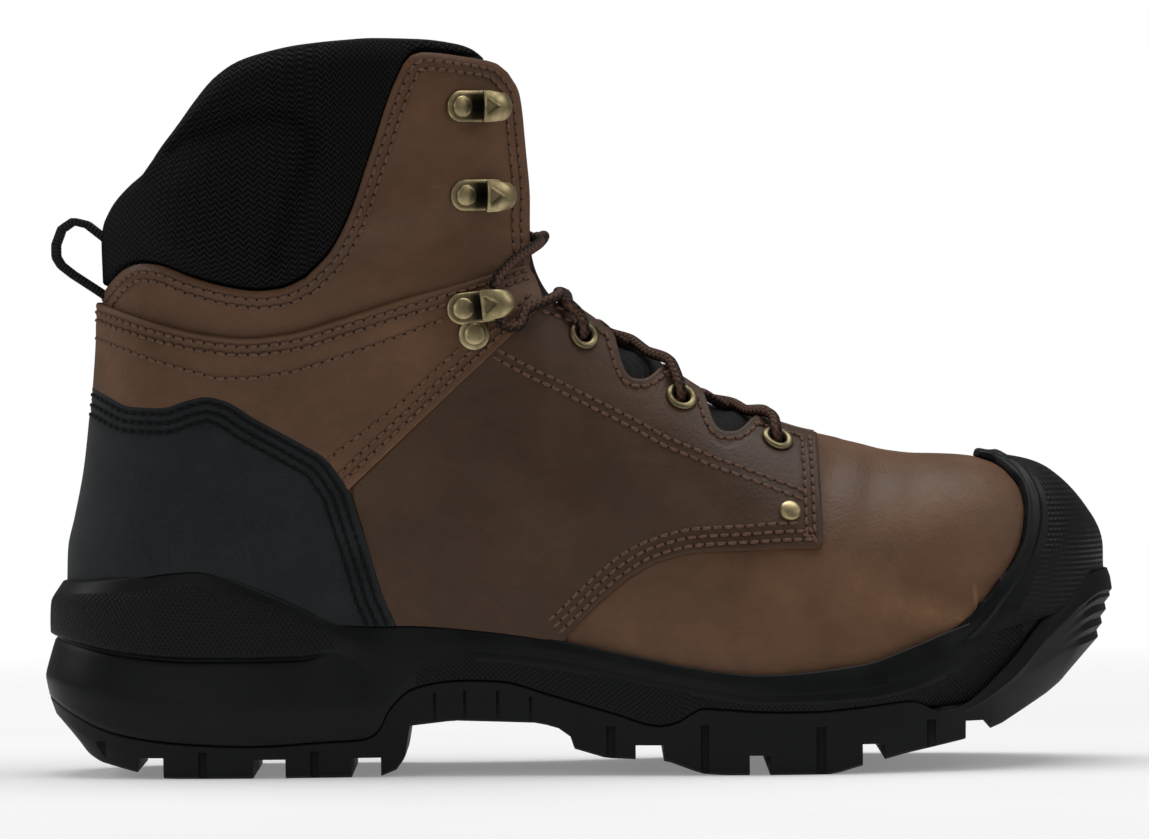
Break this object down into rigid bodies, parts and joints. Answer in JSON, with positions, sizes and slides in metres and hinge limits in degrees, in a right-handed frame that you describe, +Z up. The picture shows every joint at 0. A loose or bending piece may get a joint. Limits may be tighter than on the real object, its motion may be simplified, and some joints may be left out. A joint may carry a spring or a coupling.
{
  "type": "work boot",
  "caption": "Ankle-high lace-up work boot with brown leather upper, padded mesh collar, rubber toe cap, speed hooks and a lugged rubber sole",
  "frame": {"origin": "centre of the bounding box in plan, at the floor", "axes": "+X towards the toe, +Z up, -Y the outer side"},
  "size_m": [0.3104, 0.1146, 0.2108],
  "materials": {
    "brass": "antique satin",
    "cord": "round braid",
    "insole_foam": "fabric-faced foam",
    "leather": "oiled pull-up leather, satin",
    "mesh": "padded black mesh",
    "nubuck": "matte nubuck",
    "rubber": "satin black"
  },
  "bodies": {
    "root": {"ankle_panel": "leather", "collar": "mesh", "eyelet_inner_1": "brass", "eyelet_inner_2": "brass", "eyelet_inner_3": "brass", "eyelet_outer_1": "brass", "eyelet_outer_2": "brass", "eyelet_outer_3": "brass", "heel_counter": "nubuck", "hook_ankle_inner": "brass", "hook_ankle_outer": "brass", "hook_middle_inner": "brass", "hook_middle_outer": "brass", "hook_top_inner": "brass", "hook_top_outer": "brass", "insole": "insole_foam", "lace_cross_1": "cord", "lace_cross_2": "cord", "lace_cross_3": "cord", "midsole": "rubber", "outsole": "rubber", "pull_loop": "mesh", "quarter_inner": "leather", "quarter_outer": "leather", "rivet_inner": "brass", "rivet_outer": "brass", "toe_cap": "rubber", "tongue": "mesh", "upper": "leather"}
  },
  "joints": []
}
